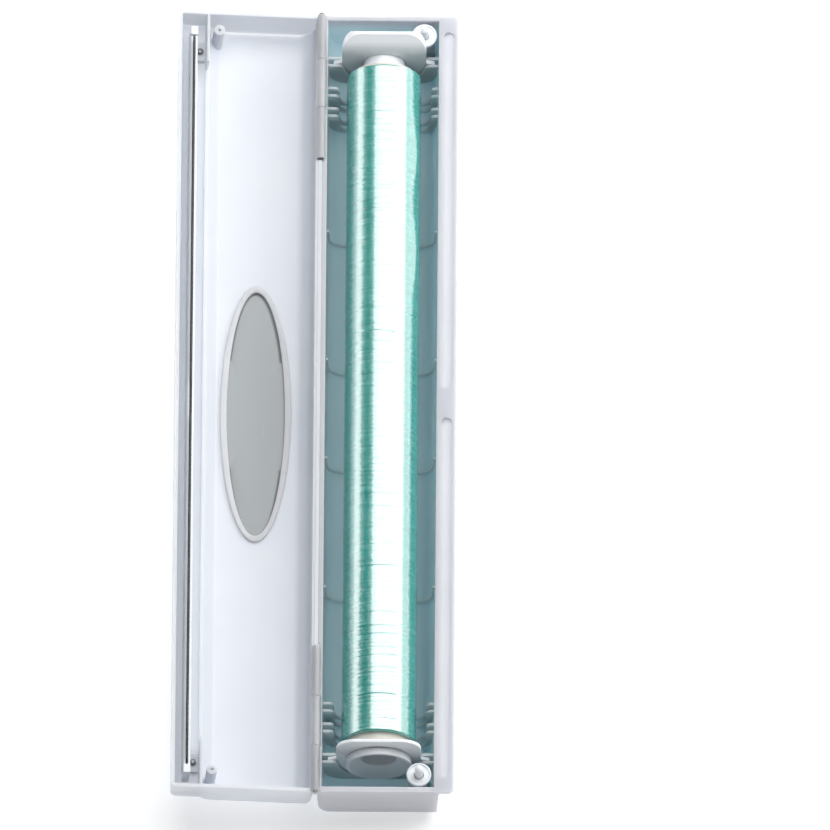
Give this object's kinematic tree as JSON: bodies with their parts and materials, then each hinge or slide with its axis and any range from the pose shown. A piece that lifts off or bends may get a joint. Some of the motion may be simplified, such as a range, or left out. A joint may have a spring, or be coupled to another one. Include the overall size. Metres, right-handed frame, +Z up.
{
  "type": "cling film dispenser",
  "caption": "Long free-standing tray with a hinged, windowed lid, a toothed cutter on sprung pins and a roll of green film on slotted end plates.",
  "frame": {"origin": "centre of the flat underside of the trough, midway along its length", "axes": "+Z up, +Y along the length of the roll, +X from the hinge toward the front ledge; the lid lies open toward -X at rest"},
  "size_m": [0.1284, 0.3872, 0.042],
  "materials": {
    "white_plastic": "satin moulded",
    "ivory_plastic": "satin moulded",
    "window_plastic": "clear, smoke tinted",
    "blade_steel": "satin",
    "spring_steel": "drawn wire",
    "core_board": "wound board",
    "green_film": "glossy stretched film"
  },
  "bodies": {
    "base": {"base_shell": "white_plastic", "end_plate_far": "white_plastic", "end_plate_near": "white_plastic", "spring_cap_far": "ivory_plastic", "spring_cap_near": "ivory_plastic", "spring_far": "spring_steel", "spring_near": "spring_steel"},
    "pins": {"hinge_pin_far": "spring_steel", "hinge_pin_near": "spring_steel"},
    "lid": {"lid_shell": "white_plastic", "window_pane": "window_plastic", "window_bezel": "ivory_plastic", "blade_holder": "ivory_plastic", "cutter_blade": "blade_steel", "blade_end_clip_far": "ivory_plastic", "blade_end_clip_near": "ivory_plastic", "holder_screw_far": "blade_steel", "holder_screw_near": "blade_steel"},
    "roll": {"hub_far": "white_plastic", "hub_near": "white_plastic", "core_tube": "core_board", "film_roll": "green_film"},
    "plunger_far": {"plunger_far": "ivory_plastic"},
    "plunger_near": {"plunger_near": "ivory_plastic"}
  },
  "joints": [
    {"name": "lid_hinge", "type": "hinge", "parent": "base", "child": "pins", "pos_m": [-0.029, 0, 0.029], "axis": [0, 1, 0], "range_deg": [0, 167]},
    {"name": "press_stroke", "type": "hinge", "parent": "pins", "child": "lid", "pos_m": [-0.029, 0, 0.029], "axis": [0, 1, 0], "range_deg": [0, 8], "stiffness_Nm_per_rad": 1.6, "springref_deg": -4.87},
    {"name": "roll_spin", "type": "hinge", "parent": "base", "child": "roll", "pos_m": [-0.0005, 0, 0.022], "axis": [0, 1, 0], "continuous": true},
    {"name": "plunger_far_slide", "type": "slide", "parent": "base", "child": "plunger_far", "axis": [0, 0, -1], "range_m": [0, 0.0063], "deforming": ["spring_far"]},
    {"name": "plunger_near_slide", "type": "slide", "parent": "base", "child": "plunger_near", "axis": [0, 0, -1], "range_m": [0, 0.0063], "deforming": ["spring_near"]}
  ],
  "couplings": [
    {"joint": "plunger_far_slide", "follows": "press_stroke", "m_per_rad": 0.0451},
    {"joint": "plunger_near_slide", "follows": "press_stroke", "m_per_rad": 0.0451}
  ]
}
